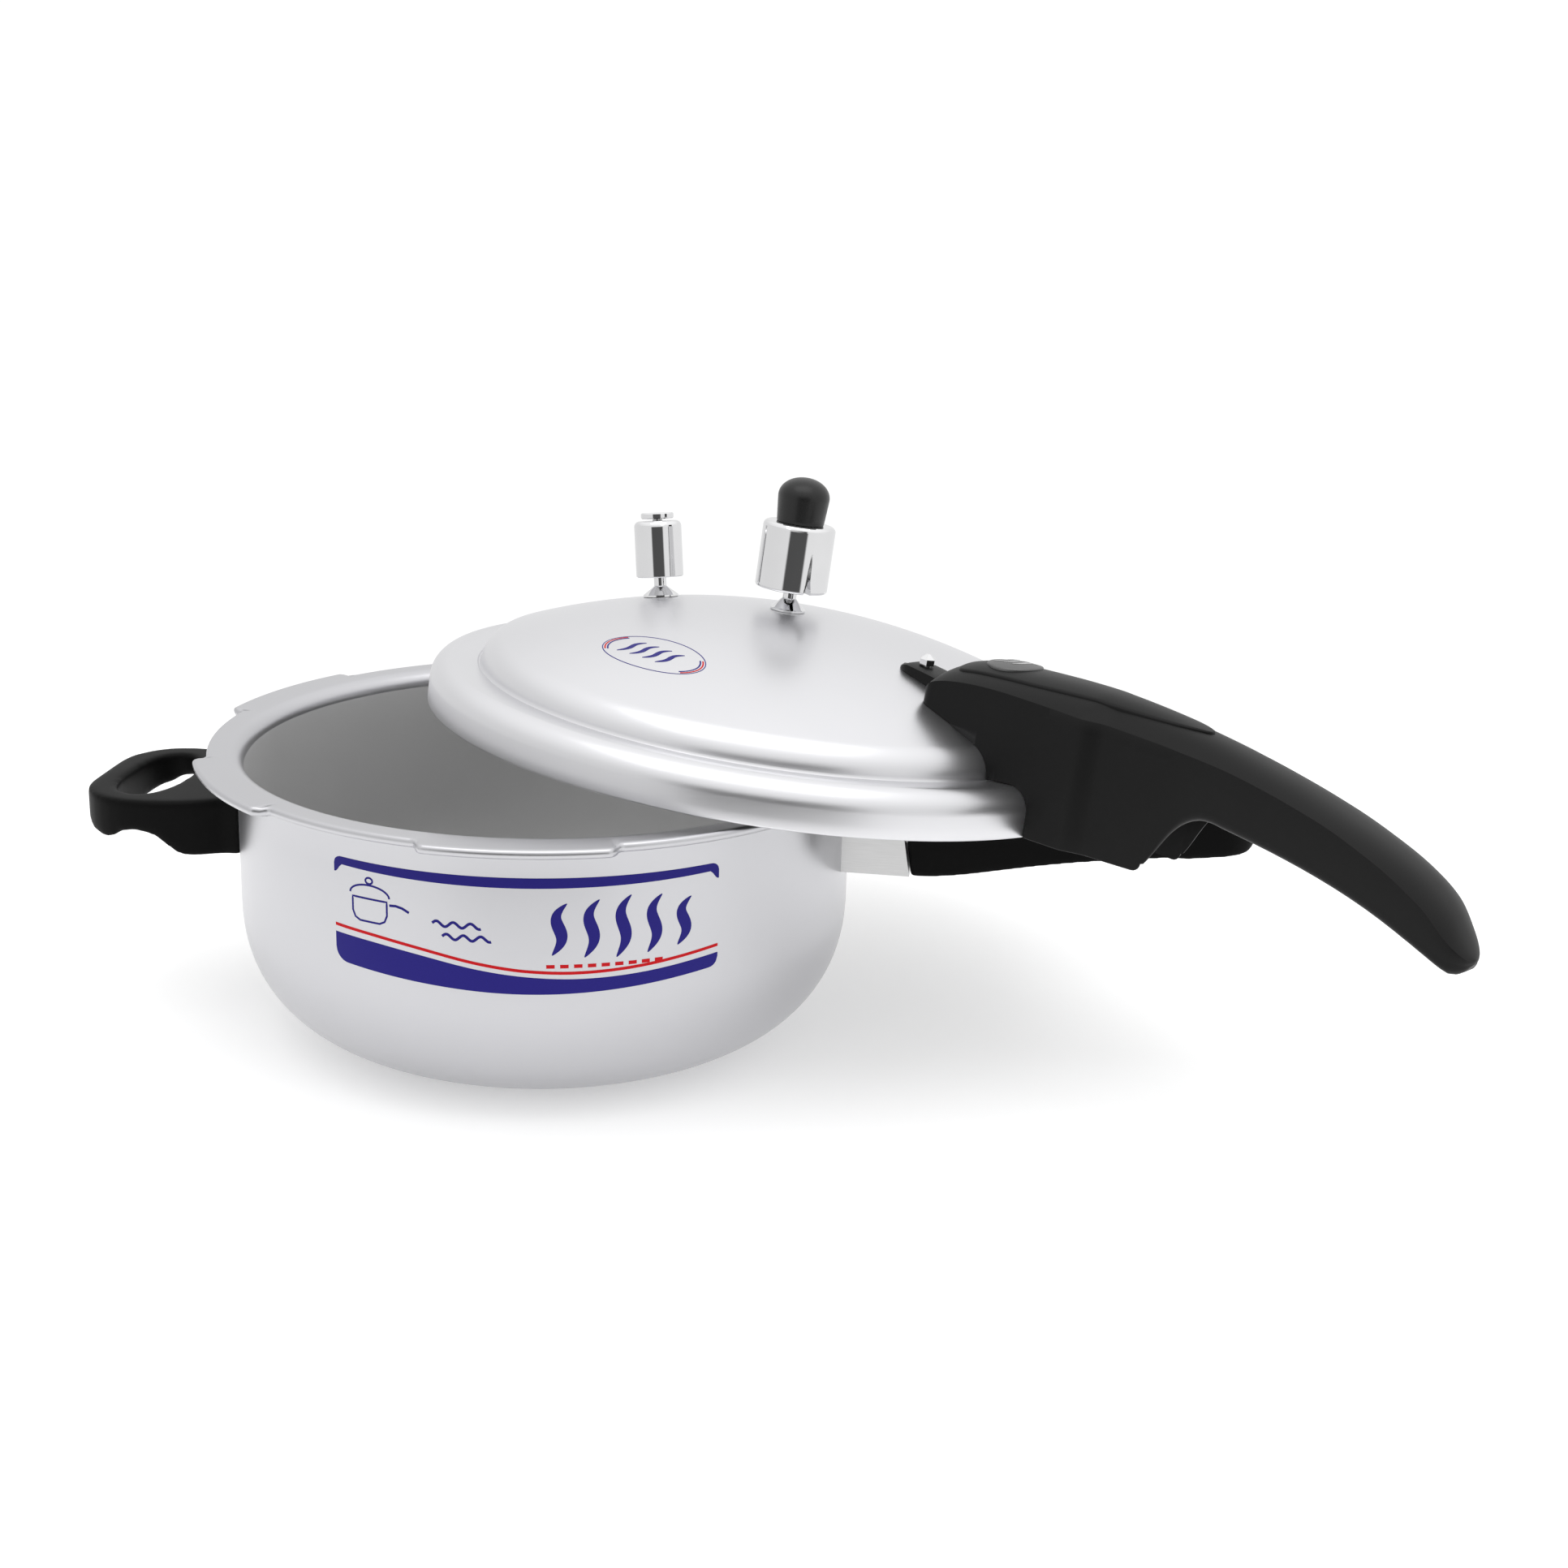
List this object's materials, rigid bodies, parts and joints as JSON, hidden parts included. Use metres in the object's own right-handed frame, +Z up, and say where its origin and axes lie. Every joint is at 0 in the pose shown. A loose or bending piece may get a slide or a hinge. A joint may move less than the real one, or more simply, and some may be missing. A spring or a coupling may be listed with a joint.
{
  "type": "stovetop pressure cooker",
  "caption": "Low round aluminium pressure cooker with its domed bayonet lid laid askew on the rim, long black handles, a vent weight and a safety valve.",
  "frame": {"origin": "centre of the pan's flat base, on the surface it stands on", "axes": "+Z up along the pan's axis; +X towards the pan's long handle; the helper handle is at -X"},
  "size_m": [0.509, 0.3059, 0.2048],
  "materials": {
    "pan_aluminium": "satin, pale, finely brushed; darker grey inside",
    "lid_aluminium": "satin, pale, finely spun",
    "bracket_steel": "satin",
    "black_bakelite": "satin moulded",
    "black_knob": "satin moulded",
    "plated_screw": "bright plated",
    "spring_steel": "drawn wire and turned steel",
    "chrome_plate": "polished",
    "badge_metal": "grey, blasted, no lettering",
    "gasket_rubber": "smooth"
  },
  "bodies": {
    "pan": {"pan_body": "pan_aluminium", "pan_bracket": "bracket_steel", "pan_handle": "black_bakelite", "pan_handle_screw": "plated_screw", "helper_bracket": "bracket_steel", "helper_handle": "black_bakelite", "helper_screw": "plated_screw"},
    "gasket": {"lid_gasket": "gasket_rubber"},
    "lid": {"lid_shell": "lid_aluminium", "lid_bracket": "bracket_steel", "lid_bracket_screw": "plated_screw", "lid_handle": "black_bakelite", "lid_handle_cover": "black_bakelite", "handle_badge": "badge_metal", "tongue_stud": "plated_screw", "tongue_nut": "chrome_plate", "vent_pipe": "chrome_plate", "vent_washer": "gasket_rubber", "vent_nut": "plated_screw", "safety_stem": "chrome_plate", "safety_washer": "gasket_rubber", "safety_nut": "plated_screw", "safety_case": "chrome_plate", "safety_spring": "spring_steel"},
    "weight_guide": {"weight_clip": "spring_steel"},
    "weight": {"weight_sleeve": "chrome_plate", "weight_knob": "black_knob", "weight_needle": "spring_steel"},
    "safety_valve": {"safety_plunger": "spring_steel", "safety_disc": "chrome_plate"}
  },
  "joints": [
    {"name": "lid_lift", "type": "slide", "parent": "pan", "child": "gasket", "axis": [0, 0, 1], "range_m": [0, 0.14]},
    {"name": "lid_turn", "type": "hinge", "parent": "gasket", "child": "lid", "pos_m": [0.0801, 0.0408, 0.105], "axis": [0.1111, 0.0569, 0.9922], "range_deg": [-40, 0]},
    {"name": "weight_lift", "type": "slide", "parent": "lid", "child": "weight_guide", "axis": [0.1045, 0.0811, 0.9912], "range_m": [0, 0.03]},
    {"name": "weight_spin", "type": "hinge", "parent": "weight_guide", "child": "weight", "pos_m": [0.0837, 0.05033, 0.15324], "axis": [0.1045, 0.0811, 0.9912], "continuous": true},
    {"name": "safety_lift", "type": "slide", "parent": "lid", "child": "safety_valve", "axis": [-0.0872, 0.1476, 0.9852], "range_m": [0, 0.003], "stiffness_N_per_m": 400, "springref_m": -0.004, "deforming": ["safety_spring"]}
  ]
}
